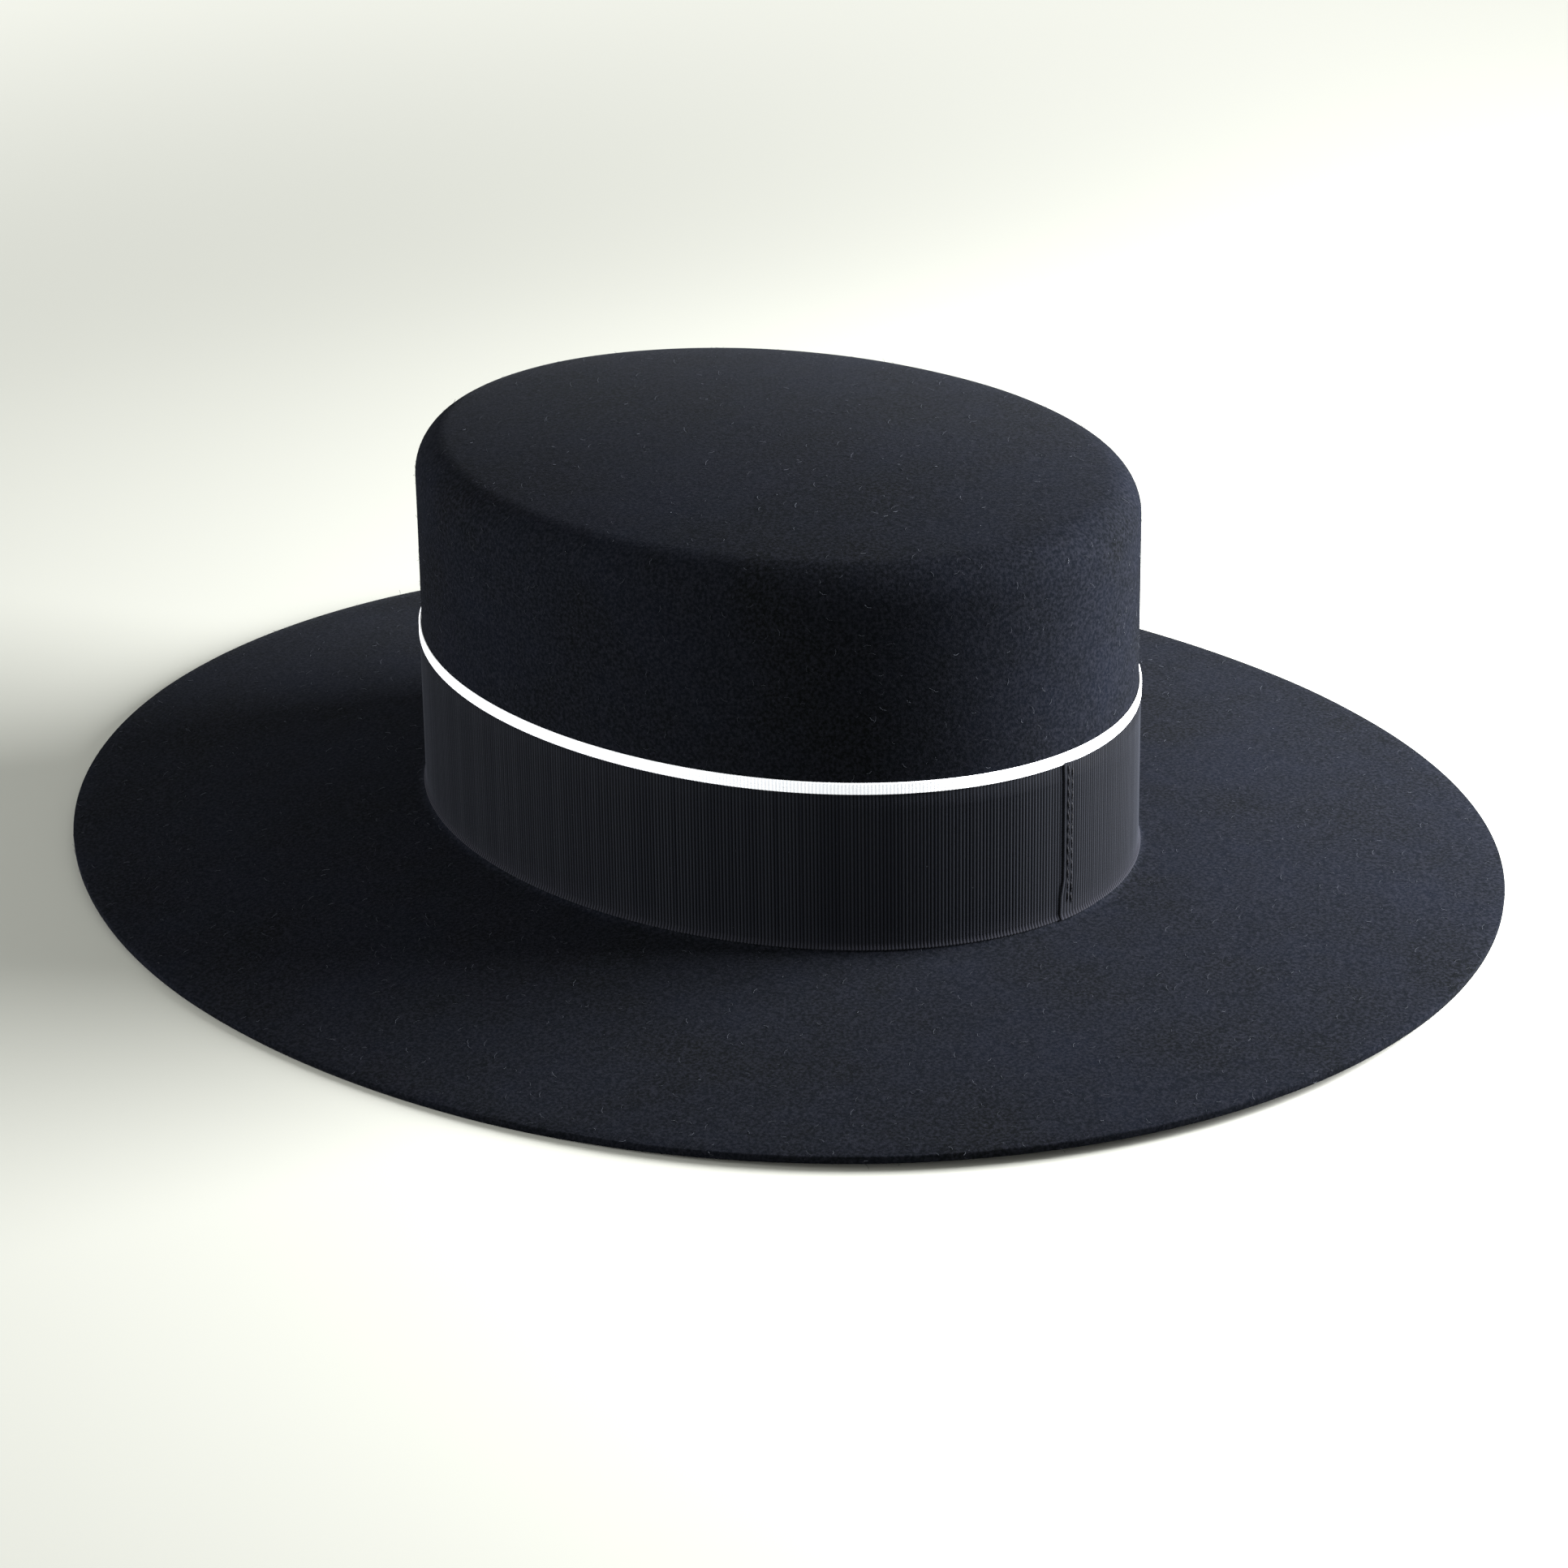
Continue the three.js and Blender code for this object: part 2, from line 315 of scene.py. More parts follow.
# %% [markdown]
# ## The oval
#
# Everything on the hat follows the oval of the hatter's block. A small node group gives a place on it: a
# point of the oval in some direction, moved out from it square to its side. A power a little over 2 swells
# the oval's four corners, as the outline of the brim does. The other trees all use this group, so nothing
# drifts apart.

# %% Make the oval as a group
oval, given, result = start_tree(
    "place_on_oval",
    {"Direction": "Vector", "Out": "Float", "Power": "Float", "Half Size": "Vector"},
    {"Place": "Vector", "Outward": "Vector"},
)
side = add(oval, VECTOR, {0: given["Direction"]}, operation="SIGN")
size = add(oval, VECTOR, {0: given["Direction"]}, operation="ABSOLUTE")
share = add(oval, MATH, {0: 2.0, 1: given["Power"]}, operation="DIVIDE")
rest = add(oval, MATH, {0: 2.0, 1: share}, operation="SUBTRACT")
swollen = add(oval, VECTOR, {0: size, 1: share}, operation="POWER")
signed = add(oval, VECTOR, {0: swollen, 1: side}, operation="MULTIPLY")
foot = add(oval, VECTOR, {0: signed, 1: given["Half Size"]}, operation="MULTIPLY")
steep = add(oval, VECTOR, {0: size, 1: rest}, operation="POWER")
turned = add(oval, VECTOR, {0: steep, 1: side}, operation="MULTIPLY")
square = add(oval, VECTOR, {0: turned, 1: given["Half Size"]}, operation="DIVIDE")
outward = add(oval, VECTOR, {0: square}, operation="NORMALIZE")
moved = add(oval, VECTOR, {0: outward, 1: given["Out"], 2: foot}, operation="MULTIPLY_ADD")
oval.links.new(moved.outputs[0], result["Place"])
oval.links.new(outward.outputs[0], result["Outward"])
half_size = (half_width, half_length, 1.0)
count_nodes(oval)

# %% [markdown]
# ## Felt: the section
#
# The shell of the crown and brim is swept, so it starts as one drawn section, from the middle of the tip to
# the edge of the brim. Each point carries numbers for the tree: how far out and how high it lies, its share
# of the tip's radius or of the brim's width, and how much of the crown's lean it takes. Round stretches are
# worked out as arcs, so a radius stays one number.

# %% Draw the section of the felt
TIP_ROWS = 10
SHOULDER_ROWS = 12
WALL_ROWS = 14
BREAK_ROWS = 6
BRIM_ROWS = 18


def shares(count):
    """Even steps above 0, up to and including 1."""
    return [step / count for step in range(1, count + 1)]


section = []  # rows of out, height, brim, tip and lean
for tip in [0.0, *shares(TIP_ROWS)]:
    section.append((rim_out, rim_height + TIP_RISE * (1 - tip**2), 0.0, tip, 1.0))
for share in shares(SHOULDER_ROWS):
    turn = shoulder_turn * (1 - share)
    out = SHOULDER_RADIUS * (math.cos(turn) - 1)
    section.append((out, wall_top + SHOULDER_RADIUS * math.sin(turn), 0.0, 1.0, 1.0))
for share in shares(WALL_ROWS):
    height = wall_top + (brim_root + BREAK_RADIUS - wall_top) * share
    lean = max(0.0, (height - white_high.z) / (wall_top - white_high.z))
    section.append((0.0, height, 0.0, 1.0, lean))
for share in shares(BREAK_ROWS):
    turn = math.pi / 2 * share
    out = BREAK_RADIUS * (1 - math.cos(turn))
    section.append((out, brim_root + BREAK_RADIUS * (1 - math.sin(turn)), 0.0, 1.0, 0.0))
section += [(BREAK_RADIUS, brim_root, share, 1.0, 0.0) for share in shares(BRIM_ROWS)]
print("the section has", len(section), "rows")


# %% Turn rows of numbers into a mesh line
def new_object(name, data):
    """Puts an object with this mesh, camera or light into the scene."""
    made = bpy.data.objects.new(name, data)
    bpy.context.scene.collection.objects.link(made)
    return made


def draw_line(name, rows, labels, closed=False):
    """A mesh of one line, with a point for each row and each column kept as an attribute."""
    count = len(rows)
    edges = [(i, (i + 1) % count) for i in range(count if closed else count - 1)]
    mesh = bpy.data.meshes.new(name)
    columns = dict(zip(labels, zip(*rows)))
    downwards = [-height for height in columns["height"]]  # an upright curve sweeps a section's Y downwards
    mesh.from_pydata(list(zip(columns["out"], downwards, [0.0] * count)), edges, [])
    for label, numbers in columns.items():
        mesh.attributes.new(label, "FLOAT", "POINT").data.foreach_set("value", numbers)
    return new_object(name, mesh)


FELT_LABELS = ("out", "height", "brim", "tip", "lean")
felt_shell = draw_line("felt_shell", section, FELT_LABELS)
print(felt_shell.name, "starts as a line of", len(felt_shell.data.vertices), "points")

# %% [markdown]
# ## Felt: the tree
#
# The tree lays a grid, one column for each direction round the hat and one row for each point of the
# section. Each grid point looks up its row's numbers and its column's direction, and the oval group puts it
# in place. The brim's width and droop change smoothly from the sides to the ends with the squared cosine. A
# slow noise moves the finished skin by a fraction of a millimetre, because a hand-blocked hat is never
# quite even.

# %% Start the tree with its columns and rows
FELT_INPUTS = {
    "Section": "Geometry", "Columns": "Int", "Half Size": "Vector", "Side Brim": "Float",
    "End Brim": "Float", "Side Drop": "Float", "End Drop": "Float", "Curl": "Float", "Power": "Float",
    "Lean": "Float", "Unevenness": "Float", "Wave": "Float", "Seed": "Float", "Material": "Material",
}
tree, given, result = start_tree("blocked_felt", FELT_INPUTS)
rows = add(tree, "GeometryNodeAttributeDomainSize", {"Geometry": given["Section"]})
ends = add(tree, MATH, {0: given["Columns"], 1: 1.0}, operation="ADD")
grid = add(tree, "GeometryNodeMeshGrid", {"Vertices X": ends, "Vertices Y": rows})
index = add(tree, "GeometryNodeInputIndex")
row = add(tree, MATH, {0: index, 1: rows}, operation="MODULO")
part = add(tree, MATH, {0: index, 1: rows}, operation="DIVIDE")
column = add(tree, MATH, {0: part}, operation="FLOOR")
round_share = add(tree, MATH, {0: column, 1: given["Columns"]}, operation="DIVIDE")
angle = add(tree, MATH, {0: round_share, 1: 2 * math.pi}, operation="MULTIPLY")
across = add(tree, MATH, {0: angle}, operation="COSINE")
along = add(tree, MATH, {0: angle}, operation="SINE")
direction = add(tree, "ShaderNodeCombineXYZ", {"X": across, "Y": along})
looked_up = {}
for label in FELT_LABELS:
    number = add(tree, "GeometryNodeInputNamedAttribute", {"Name": label}, data_type="FLOAT")
    looked_up[label] = add(
        tree, "GeometryNodeSampleIndex", {"Geometry": given["Section"], "Value": number, "Index": row}
    )
count_nodes(tree)

# %% Place each point of the felt
sideness = add(tree, MATH, {0: across, 1: across}, operation="MULTIPLY")
width = add(tree, "ShaderNodeMix", {0: sideness, "A": given["End Brim"], "B": given["Side Brim"]})
drop = add(tree, "ShaderNodeMix", {0: sideness, "A": given["End Drop"], "B": given["Side Drop"]})
out = add(tree, "ShaderNodeMix", {0: looked_up["brim"], "A": looked_up["out"], "B": width})
power = add(tree, "ShaderNodeMix", {0: looked_up["brim"], "A": 2.0, "B": given["Power"]})
on_oval = {"Direction": direction, "Out": out, "Power": power, "Half Size": given["Half Size"]}
spot = add(tree, "GeometryNodeGroup", on_oval, node_tree=oval)
drawn_in = add(tree, VECTOR, {0: spot, "Scale": looked_up["tip"]}, operation="SCALE")
split = add(tree, "ShaderNodeSeparateXYZ", {0: drawn_in})
bent = add(tree, MATH, {0: looked_up["brim"], 1: given["Curl"]}, operation="POWER")
droop = add(tree, MATH, {0: bent, 1: drop}, operation="MULTIPLY")
level = add(tree, MATH, {0: looked_up["height"], 1: droop}, operation="SUBTRACT")
back = add(tree, "ShaderNodeSeparateXYZ", {0: given["Half Size"]})
far = add(tree, MATH, {0: split.outputs["Y"], 1: back.outputs["Y"]}, operation="DIVIDE")
tilt = add(tree, MATH, {0: looked_up["lean"], 1: given["Lean"]}, operation="MULTIPLY")
height = add(tree, MATH, {0: far, 1: tilt, 2: level}, operation="MULTIPLY_ADD")
spot = add(tree, "ShaderNodeCombineXYZ", {"X": split.outputs["X"], "Y": split.outputs["Y"], "Z": height})
shaped = add(tree, "GeometryNodeSetPosition", {"Geometry": grid, "Position": spot})
count_nodes(tree)

# %% Close the seam, add the unevenness and finish the skin
loose = add(tree, MATH, {0: looked_up["brim"], 1: looked_up["lean"]}, operation="MAXIMUM")
kept = add(
    tree,
    "GeometryNodeStoreNamedAttribute",
    {"Geometry": shaped, "Name": "loose", "Value": loose},
    data_type="FLOAT",
)
merged = add(tree, "GeometryNodeMergeByDistance", {"Geometry": kept, "Distance": 0.01 * MM})
facing_out = add(tree, "GeometryNodeFlipFaces", {"Mesh": merged})
here = add(tree, "GeometryNodeInputPosition")
finer = add(tree, MATH, {0: 1.0, 1: given["Wave"]}, operation="DIVIDE")
wave = add(
    tree,
    "ShaderNodeTexNoise",
    {"Vector": here, "W": given["Seed"], "Scale": finer, "Detail": 1.0},
    noise_dimensions="4D",
)
centred = add(tree, MATH, {0: wave, 1: 0.5}, operation="SUBTRACT")
loose = add(tree, "GeometryNodeInputNamedAttribute", {"Name": "loose"}, data_type="FLOAT")
strength = add(tree, MATH, {0: loose, 1: given["Unevenness"]}, operation="MULTIPLY")
amount = add(tree, MATH, {0: centred, 1: strength}, operation="MULTIPLY")
normal = add(tree, "GeometryNodeInputNormal")
push = add(tree, VECTOR, {0: normal, "Scale": amount}, operation="SCALE")
uneven = add(tree, "GeometryNodeSetPosition", {"Geometry": facing_out, "Offset": push})
end_tree(tree, given, result, uneven)

# %% [markdown]
# ## Felt: the wall
#
# The tree gives a skin with no thickness. Solidify turns it into a wall 2.2 mm thick on its inner side, and
# Bevel takes the sharpness off the cut edge, as handling does. Where the low sides of the brim would sink
# into the table, the underside is pressed flat instead.

# %% Sweep the felt and give it its wall
FELT_COLUMNS = 288
EDGE_WEAR = 0.45 * MM

put_modifier(felt_shell, tree, {
    "Columns": FELT_COLUMNS, "Half Size": half_size, "Side Brim": side_brim, "End Brim": end_brim,
    "Side Drop": SIDE_DROP, "End Drop": END_DROP, "Curl": DROOP_CURL, "Power": SQUARENESS,
    "Lean": CROWN_LEAN, "Unevenness": 0.5 * MM, "Wave": 70 * MM, "Seed": 4.0, "Material": felt,
})
wall = felt_shell.modifiers.new("wall", "SOLIDIFY")
wall.thickness = FELT_THICKNESS
wall.offset = -1
wall.use_even_offset = True
wear = felt_shell.modifiers.new("wear", "BEVEL")
wear.width = EDGE_WEAR
wear.segments = 3
wear.limit_method = "ANGLE"
wear.angle_limit = math.radians(60)
make_plain(felt_shell)
for vertex in felt_shell.data.vertices:
    vertex.co.z = max(vertex.co.z, 0.0)

# %% [markdown]
# ## Ribbon: the ribs
#
# A ribbon is a strip that follows a path, so its tree sweeps a section along a curve that runs round the
# crown. The curve is cut into four even steps for each rib, and every fourth step is a groove between two
# cords. The ends lie on each other at the back: the under end thins out to nothing, and the upper end
# climbs over it and closes in a rounded fold.

# %% Start the strip's tree with its path
STRIP_INPUTS = {
    "Section": "Geometry", "Start": "Float", "Turn": "Float", "Half Size": "Vector", "Ribs": "Int",
    "Length": "Float", "Groove": "Float", "Thickness": "Float", "Lap": "Float", "Climb": "Float",
    "Fold": "Float", "Scallop": "Float", "Corner": "Float", "Slip": "Float", "Slip From": "Float",
    "Slip To": "Float", "Ends": "Bool", "Material": "Material",
}
PATH_POINTS = 720
STEPS_A_RIB = 4

tree, given, result = start_tree("ribbed_strip", STRIP_INPUTS)
line = add(tree, "GeometryNodeMeshLine", {"Count": PATH_POINTS + 1})
index = add(tree, "GeometryNodeInputIndex")
gone = add(tree, MATH, {0: index, 1: 1 / PATH_POINTS}, operation="MULTIPLY")
angle = add(tree, MATH, {0: gone, 1: given["Turn"], 2: given["Start"]}, operation="MULTIPLY_ADD")
across = add(tree, MATH, {0: angle}, operation="COSINE")
along = add(tree, MATH, {0: angle}, operation="SINE")
direction = add(tree, "ShaderNodeCombineXYZ", {"X": across, "Y": along})
on_oval = {"Direction": direction, "Power": 2.0, "Half Size": given["Half Size"]}
spot = add(tree, "GeometryNodeGroup", on_oval, node_tree=oval)
route = add(tree, "GeometryNodeSetPosition", {"Geometry": line, "Position": spot})
curve = add(tree, "GeometryNodeMeshToCurve", {"Mesh": route})
closing = add(tree, MATH, {0: 1.0, 1: given["Ends"]}, operation="SUBTRACT")
ring = add(tree, "GeometryNodeSetSplineCyclic", {"Geometry": curve, "Cyclic": closing})
last = add(tree, MATH, {0: given["Ribs"], 1: float(STEPS_A_RIB)}, operation="MULTIPLY")
steps = add(tree, MATH, {0: last, 1: given["Ends"]}, operation="ADD")
path = add(tree, "GeometryNodeResampleCurve", {"Curve": ring, "Count": steps})
upright = add(tree, "GeometryNodeSetCurveNormal", {"Curve": path}, mode="Z_UP")
spline = add(tree, "GeometryNodeSplineParameter")
for label in ("Length", "Factor"):
    upright = add(
        tree,
        "GeometryNodeStoreNamedAttribute",
        {"Geometry": upright, "Name": label.lower(), "Value": spline.outputs[label]},
        data_type="FLOAT",
    )
print("a path of", PATH_POINTS, "points, cut to", STEPS_A_RIB, "steps a rib")

# %% Sweep the section along the path
MOST_SIDES = 4.5  # the faces along the strip have four sides, and only the caps at its ends have more
outline = add(tree, "GeometryNodeMeshToCurve", {"Mesh": given["Section"]})
swept = add(
    tree, "GeometryNodeCurveToMesh", {"Curve": upright, "Profile Curve": outline, "Fill Caps": given["Ends"]}
)
sides = add(tree, "GeometryNodeInputMeshFaceNeighbors").outputs["Vertex Count"]
is_cap = add(tree, "FunctionNodeCompare", {0: sides, 1: MOST_SIDES}, operation="GREATER_THAN")
strip = add(tree, "GeometryNodeTriangulate", {"Mesh": swept, "Selection": is_cap}, ngon_method="BEAUTY")
count_nodes(tree)


# %% Find the way out from the crown
def square_to_oval(tree, half_size):
    """A vector square to the crown's oval at each point, from the slope of the oval's equation."""
    place = add(tree, "GeometryNodeInputPosition")
    flat = add(tree, VECTOR, {0: place, 1: (1.0, 1.0, 0.0)}, operation="MULTIPLY")
    once = add(tree, VECTOR, {0: flat, 1: half_size}, operation="DIVIDE")
    return add(tree, VECTOR, {0: once, 1: half_size}, operation="DIVIDE")


outward = add(tree, VECTOR, {0: square_to_oval(tree, given["Half Size"])}, operation="NORMALIZE")
forward = add(tree, VECTOR, {0: (0.0, 0.0, 1.0), 1: outward}, operation="CROSS_PRODUCT")
count_nodes(tree)

# %% Work out the ribs
carried = {}
for label in ("length", "factor", "face_out", "face_up", "outer", "foot", "top"):
    carried[label] = add(tree, "GeometryNodeInputNamedAttribute", {"Name": label}, data_type="FLOAT")
ribs_gone = add(tree, MATH, {0: carried["factor"], 1: given["Ribs"]}, operation="MULTIPLY")
swing = add(tree, MATH, {0: ribs_gone, 1: math.pi}, operation="MULTIPLY")
sine = add(tree, MATH, {0: swing}, operation="SINE")
crest = add(tree, MATH, {0: sine}, operation="ABSOLUTE")
valley = add(tree, MATH, {0: 1.0, 1: crest}, operation="SUBTRACT")
groove = add(tree, MATH, {0: valley, 1: given["Groove"]}, operation="MULTIPLY")
print(len(carried), "numbers are carried along the strip")

# %% Taper and round the ends
PINCH = 0.9  # share of the thickness that the ends lose

left = add(tree, MATH, {0: given["Length"], 1: carried["length"]}, operation="SUBTRACT")
fading = {"To Min": 1.0, "To Max": 0.0}
near_fold = {"Value": carried["length"], "From Max": given["Fold"]}
on_lap = {"Value": carried["length"], "From Max": given["Lap"]}
under_lap = {"Value": left, "From Max": given["Lap"]}
upper, under, open_share = [
    add(tree, "ShaderNodeMapRange", {**reach, **fading}) for reach in (on_lap, under_lap, near_fold)
]
most = add(tree, MATH, {0: given["Thickness"], 1: PINCH}, operation="MULTIPLY")
at_end = add(tree, MATH, {0: under, 1: open_share}, operation="MAXIMUM")
whole = add(tree, MATH, {0: at_end, 1: given["Ends"]}, operation="MULTIPLY")
away = add(tree, MATH, {0: 1.0, 1: whole}, operation="SUBTRACT")
faded = add(tree, MATH, {0: groove, 1: away}, operation="MULTIPLY")
thinned = add(tree, MATH, {0: under, 1: most, 2: faded}, operation="MULTIPLY_ADD")
outer_in = add(tree, MATH, {0: thinned, 1: carried["outer"]}, operation="MULTIPLY")
squared = add(tree, MATH, {0: open_share, 1: open_share}, operation="MULTIPLY")
roundness = add(tree, MATH, {0: 1.0, 1: squared}, operation="SUBTRACT")
swell = add(tree, MATH, {0: roundness}, operation="SQRT")
shrunk = add(tree, MATH, {0: 1.0, 1: swell}, operation="SUBTRACT")
half_thick = add(tree, MATH, {0: most, 1: 0.5}, operation="MULTIPLY")
pinched = add(tree, MATH, {0: shrunk, 1: half_thick}, operation="MULTIPLY")
end_round = add(tree, MATH, {0: pinched, 1: given["Ends"]}, operation="MULTIPLY")
inward = add(tree, MATH, {0: outer_in, 1: end_round}, operation="ADD")
back_off = add(tree, MATH, {0: inward, 1: -1.0}, operation="MULTIPLY")
count_nodes(tree)

# %% Shift the points out, up and along
CORNER_POWER = 3.0  # the upper end's corner lifts and slips only close to its fold

push_out = add(tree, MATH, {0: back_off, 1: carried["face_out"]}, operation="MULTIPLY")
climbed = add(tree, MATH, {0: upper, 1: given["Climb"], 2: push_out}, operation="MULTIPLY_ADD")
push_up = add(tree, MATH, {0: back_off, 1: carried["face_up"]}, operation="MULTIPLY")
scallop = add(tree, MATH, {0: valley, 1: given["Scallop"]}, operation="MULTIPLY")
frilled = add(tree, MATH, {0: scallop, 1: carried["foot"], 2: push_up}, operation="MULTIPLY_ADD")
near_end = add(tree, MATH, {0: upper, 1: CORNER_POWER}, operation="POWER")
corner = add(tree, MATH, {0: near_end, 1: given["Corner"]}, operation="MULTIPLY")
lifted = add(tree, MATH, {0: corner, 1: carried["top"], 2: frilled}, operation="MULTIPLY_ADD")
place = add(tree, "GeometryNodeInputPosition")
upright_place = add(tree, "ShaderNodeSeparateXYZ", {0: place})
low = add(
    tree,
    "ShaderNodeMapRange",
    {"Value": upright_place.outputs["Z"], "From Min": given["Slip From"], "From Max": given["Slip To"]},
    interpolation_type="SMOOTHSTEP",
)
slipped = add(tree, MATH, {0: low, 1: near_end}, operation="MULTIPLY")
slip = add(tree, MATH, {0: slipped, 1: given["Slip"]}, operation="MULTIPLY")
count_nodes(tree)

# %% Form the strip and number its ribs
shift_out = add(tree, VECTOR, {0: outward, "Scale": climbed}, operation="SCALE")
shift_up = add(tree, "ShaderNodeCombineXYZ", {"Z": lifted})
shift_on = add(tree, VECTOR, {0: forward, "Scale": slip}, operation="SCALE")
out_and_up = add(tree, VECTOR, {0: shift_out, 1: shift_up}, operation="ADD")
whole_shift = add(tree, VECTOR, {0: out_and_up, 1: shift_on}, operation="SUBTRACT")
formed = add(tree, "GeometryNodeSetPosition", {"Geometry": strip, "Offset": whole_shift})
rib_number = add(tree, MATH, {0: ribs_gone}, operation="FLOOR")
# The groove depth is also kept for the painted shade in the grooves.
for label, number in {"rib": rib_number, "groove": valley}.items():
    formed = add(
        tree,
        "GeometryNodeStoreNamedAttribute",
        {"Geometry": formed, "Name": label, "Value": number},
        data_type="FLOAT",
    )
end_tree(tree, given, result, formed)
strip_tree = tree

# %% [markdown]
# ## Ribbon: the black band
#
# The section of the black ribbon runs straight down the wall and flares out at its foot, where a real
# ribbon is steamed to follow the break of the brim. It is drawn as a middle line, with a point on each face
# of it. The outer points carry the ribs, and the foot's points the small scallops of a woven edge.

# %% Measure the path round the crown
LAP_PLACE = 9 * MM  # the fold of the upper end lies this far to the left of the centre back
LAP = 14 * MM  # stretch over which the two ends lie on each other
RIB_PITCH = 0.94 * MM  # counted in the photo: about 27 ribs to an inch

lap_start = math.acos(LAP_PLACE / half_width)
lap_end = math.acos((LAP_PLACE - LAP) / half_width)
ribbon_turn = 2 * math.pi + lap_end - lap_start


def path_length(start, turn, pieces=3600):
    """Length of a stretch of the crown's oval, summed up from short chords."""
    angles = [start + turn * i / pieces for i in range(pieces + 1)]
    points = [Vector((half_width * math.cos(a), half_length * math.sin(a))) for a in angles]
    return sum((b - a).length for a, b in zip(points, points[1:]))


ribbon_length = path_length(lap_start, ribbon_turn)
ribs = round(ribbon_length / RIB_PITCH)
print(f"the ribbon is {1000 * ribbon_length:.0f} mm long and has {ribs} ribs")

# %% Draw the section of the ribbon
THICKNESS = 0.55 * MM
INSIDE = 0.1 * MM  # gap between the felt and the ribbon's inner face
FLARE = math.radians(45)
STRIP_LABELS = ("out", "height", "face_out", "face_up", "outer", "foot", "top", "selvage")
WALL_POINTS = 9
FLARE_POINTS = 5
TOP_POINTS = 4  # points over which the lift of the upper end's corner fades


def strip_section(middle_line, rounded):
    """A closed section round a middle line, whose points are (out, height, and the parts out and up of the
    outer face's normal). `rounded` bends the points at each end of the line towards it."""
    count = len(middle_line)
    loop = []
    for outer in (1.0, -1.0):
        for i, (out, height, nx, nz) in enumerate(middle_line if outer > 0 else reversed(middle_line)):
            step = i if outer > 0 else count - 1 - i
            tight = rounded if step in (0, count - 1) else 1.0
            x = out + outer * nx * tight * THICKNESS / 2
            z = height + outer * nz * tight * THICKNESS / 2
            foot = 1.0 if step == count - 1 else (0.5 if step == count - 2 else 0.0)
            top = max(0.0, 1.0 - step / TOP_POINTS)
            # The points near the foot carry the mask of the painted highlight on the flared foot.
            from_foot = (count - 1 - step) / (FLARE_POINTS + 1)
            selvage = max(0.0, 1.0 - from_foot**2)
            ribbed = max(outer, 0.0) * tight
            loop.append((x, z, outer * nx * tight, outer * nz * tight, ribbed, foot, top, selvage))
    return loop


middle_out = INSIDE + THICKNESS / 2
break_height = brim_root + BREAK_RADIUS
ribbon_top = ribbon_high.z
reach = BREAK_RADIUS - middle_out
middle = []
for i in range(WALL_POINTS):
    height = ribbon_top + (break_height - ribbon_top) * i / WALL_POINTS
    middle.append((middle_out, height, 1.0, 0.0))
for i in range(FLARE_POINTS + 1):
    turn = FLARE * i / FLARE_POINTS
    across, upwards = math.cos(turn), math.sin(turn)
    middle.append((BREAK_RADIUS - reach * across, break_height - reach * upwards, across, upwards))
section = strip_section(middle, rounded=0.4)
grosgrain_ribbon = draw_line("grosgrain_ribbon", section, STRIP_LABELS, closed=True)
print("the ribbon's section has", len(section), "points")

# %% Sweep the ribbon
CLIMB = THICKNESS + 0.02 * MM  # the upper end has this much to climb over the under one

put_modifier(grosgrain_ribbon, strip_tree, {
    "Start": lap_start, "Turn": ribbon_turn, "Half Size": half_size, "Ribs": ribs, "Length": ribbon_length,
    "Groove": 0.3 * MM, "Thickness": THICKNESS, "Lap": LAP, "Climb": CLIMB,
    "Fold": 0.5 * MM, "Scallop": 0.18 * MM, "Corner": 0.5 * MM, "Slip": 1.2 * MM, "Slip From": 24 * MM,
    "Slip To": 16 * MM, "Ends": True, "Material": black_grosgrain,
})
make_plain(grosgrain_ribbon)

# %% [markdown]
# ## Ribbon: the white edge
#
# The white edge is a ribbon folded lengthwise, with only its fold standing above the black one. It is the
# same kind of strip, so it uses the same tree with another section: a low rounded one that closes in a
# ring. A ring has no ends, so the tree's sizes for the lap have no say in it.

# %% Draw and sweep the white edge
WHITE_GAP = 0.04 * MM  # between the black ribbon's top and the white edge
white_foot = ribbon_top + WHITE_GAP
white_middle = white_foot + (white_high.z - white_foot) * 0.5
white_ring = path_length(0.0, 2 * math.pi)
white_ribs = round(white_ring / RIB_PITCH)
fold_radius = (BAND_PROUD - INSIDE) / 2
white_out = INSIDE + fold_radius
WHITE_CORNER = 0.06 * MM  # its lower corner is cut off by this much
FOLD_POINTS = 8

loop = []  # each point's numbers, in the order of the strip's labels
for i in range(FOLD_POINTS + 1):
    turn = math.pi * i / FOLD_POINTS
    across, upwards = -math.cos(turn), math.sin(turn)
    height = white_high.z - fold_radius + fold_radius * upwards
    loop.append((white_out + fold_radius * across, height, across, upwards, max(0.0, across), 0.0, 0.0, 0.0))
for height in (white_middle, white_foot + 2 * WHITE_CORNER, white_foot + WHITE_CORNER):
    loop.append((BAND_PROUD, height, 1.0, 0.0, 1.0, 0.0, 0.0, 0.0))
loop.append((BAND_PROUD - WHITE_CORNER, white_foot, 0.5, -0.5, 0.5, 0.0, 0.0, 0.0))
loop.append((INSIDE, white_foot, -1.0, 0.0, 0.0, 0.0, 0.0, 0.0))
white_ribbon_edge = draw_line("white_ribbon_edge", loop, STRIP_LABELS, closed=True)
put_modifier(white_ribbon_edge, strip_tree, {
    "Start": 0.0, "Turn": 2 * math.pi, "Half Size": half_size, "Ribs": white_ribs, "Length": white_ring,
    "Groove": 0.1 * MM, "Thickness": 0.0, "Lap": LAP, "Climb": 0.0, "Fold": 0.5 * MM, "Scallop": 0.0,
    "Corner": 0.0, "Slip": 0.0, "Slip From": 1.0, "Slip To": 2.0, "Ends": False, "Material": white_grosgrain,
})
make_plain(white_ribbon_edge)

